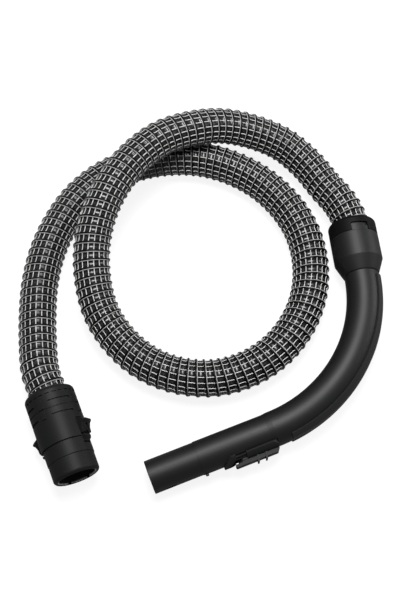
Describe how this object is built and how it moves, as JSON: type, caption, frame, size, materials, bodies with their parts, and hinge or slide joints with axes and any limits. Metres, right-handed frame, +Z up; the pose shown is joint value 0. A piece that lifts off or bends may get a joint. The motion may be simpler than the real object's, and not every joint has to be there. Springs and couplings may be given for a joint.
{
  "type": "vacuum hose",
  "caption": "Flexible ribbed suction hose, loosely coiled, with a latching swivel connector on one end and a bent swivel handle with a sliding air control on the other.",
  "frame": {"origin": "on the floor, midway between the outer limits of the two rigid fittings", "axes": "+Z up from the floor that the hose lies on, +Y from the handle's wand end towards the coil, +X from the connector's side to the handle's side"},
  "size_m": [0.3996, 0.4368, 0.0858],
  "materials": {
    "hose_film": "glossy translucent black film over ribs, with pale lengthwise yarns",
    "black_plastic": "fine satin moulding",
    "dark_grey_plastic": "fine satin moulding",
    "soft_grip": "matt soft grip strip",
    "pale_grey_plastic": "smooth",
    "seal_rubber": "matt",
    "steel": "drawn wire and strip"
  },
  "bodies": {
    "hose": {"hose": "hose_film", "conn_cuff": "black_plastic", "handle_cuff": "black_plastic"},
    "connector": {"conn_collar": "dark_grey_plastic", "conn_sleeve": "dark_grey_plastic", "conn_body": "black_plastic", "conn_nose": "dark_grey_plastic", "conn_liner": "pale_grey_plastic", "conn_nose_seal": "seal_rubber", "conn_swivel_seal": "seal_rubber", "latch_pins": "steel", "latch_springs": "steel"},
    "latch_upper": {"latch_upper": "black_plastic"},
    "latch_lower": {"latch_lower": "black_plastic"},
    "handle": {"handle_collar": "dark_grey_plastic", "handle_swivel_seal": "seal_rubber", "handle_socket": "black_plastic", "handle_bend": "black_plastic", "handle_spigot": "black_plastic", "grip_strip": "soft_grip", "slider_frame": "dark_grey_plastic"},
    "air_slider": {"air_slider": "dark_grey_plastic"}
  },
  "joints": [
    {"name": "connector_swivel", "type": "hinge", "parent": "hose", "child": "connector", "pos_m": [-0.1682, -0.0497, 0.0265], "axis": [0.3714, -0.9285, 0], "continuous": true},
    {"name": "latch_upper_press", "type": "hinge", "parent": "connector", "child": "latch_upper", "pos_m": [-0.13289, -0.08135, 0.03721], "axis": [0.4215, 0.1686, -0.891], "range_deg": [0, 5.5], "stiffness_Nm_per_rad": 0.1, "springref_deg": -5.73, "deforming": ["latch_springs"]},
    {"name": "latch_lower_press", "type": "hinge", "parent": "connector", "child": "latch_lower", "pos_m": [-0.17194, -0.09697, 0.01579], "axis": [-0.4215, -0.1686, 0.891], "range_deg": [0, 5.5], "stiffness_Nm_per_rad": 0.1, "springref_deg": -5.73, "deforming": ["latch_springs"]},
    {"name": "handle_swivel", "type": "hinge", "parent": "hose", "child": "handle", "pos_m": [0.1606, 0.148, 0.0267], "axis": [0.1132, -0.9936, 0], "continuous": true},
    {"name": "slider_travel", "type": "slide", "parent": "handle", "child": "air_slider", "axis": [-0.9317, -0.3616, -0.0353], "range_m": [0, 0.01]}
  ]
}
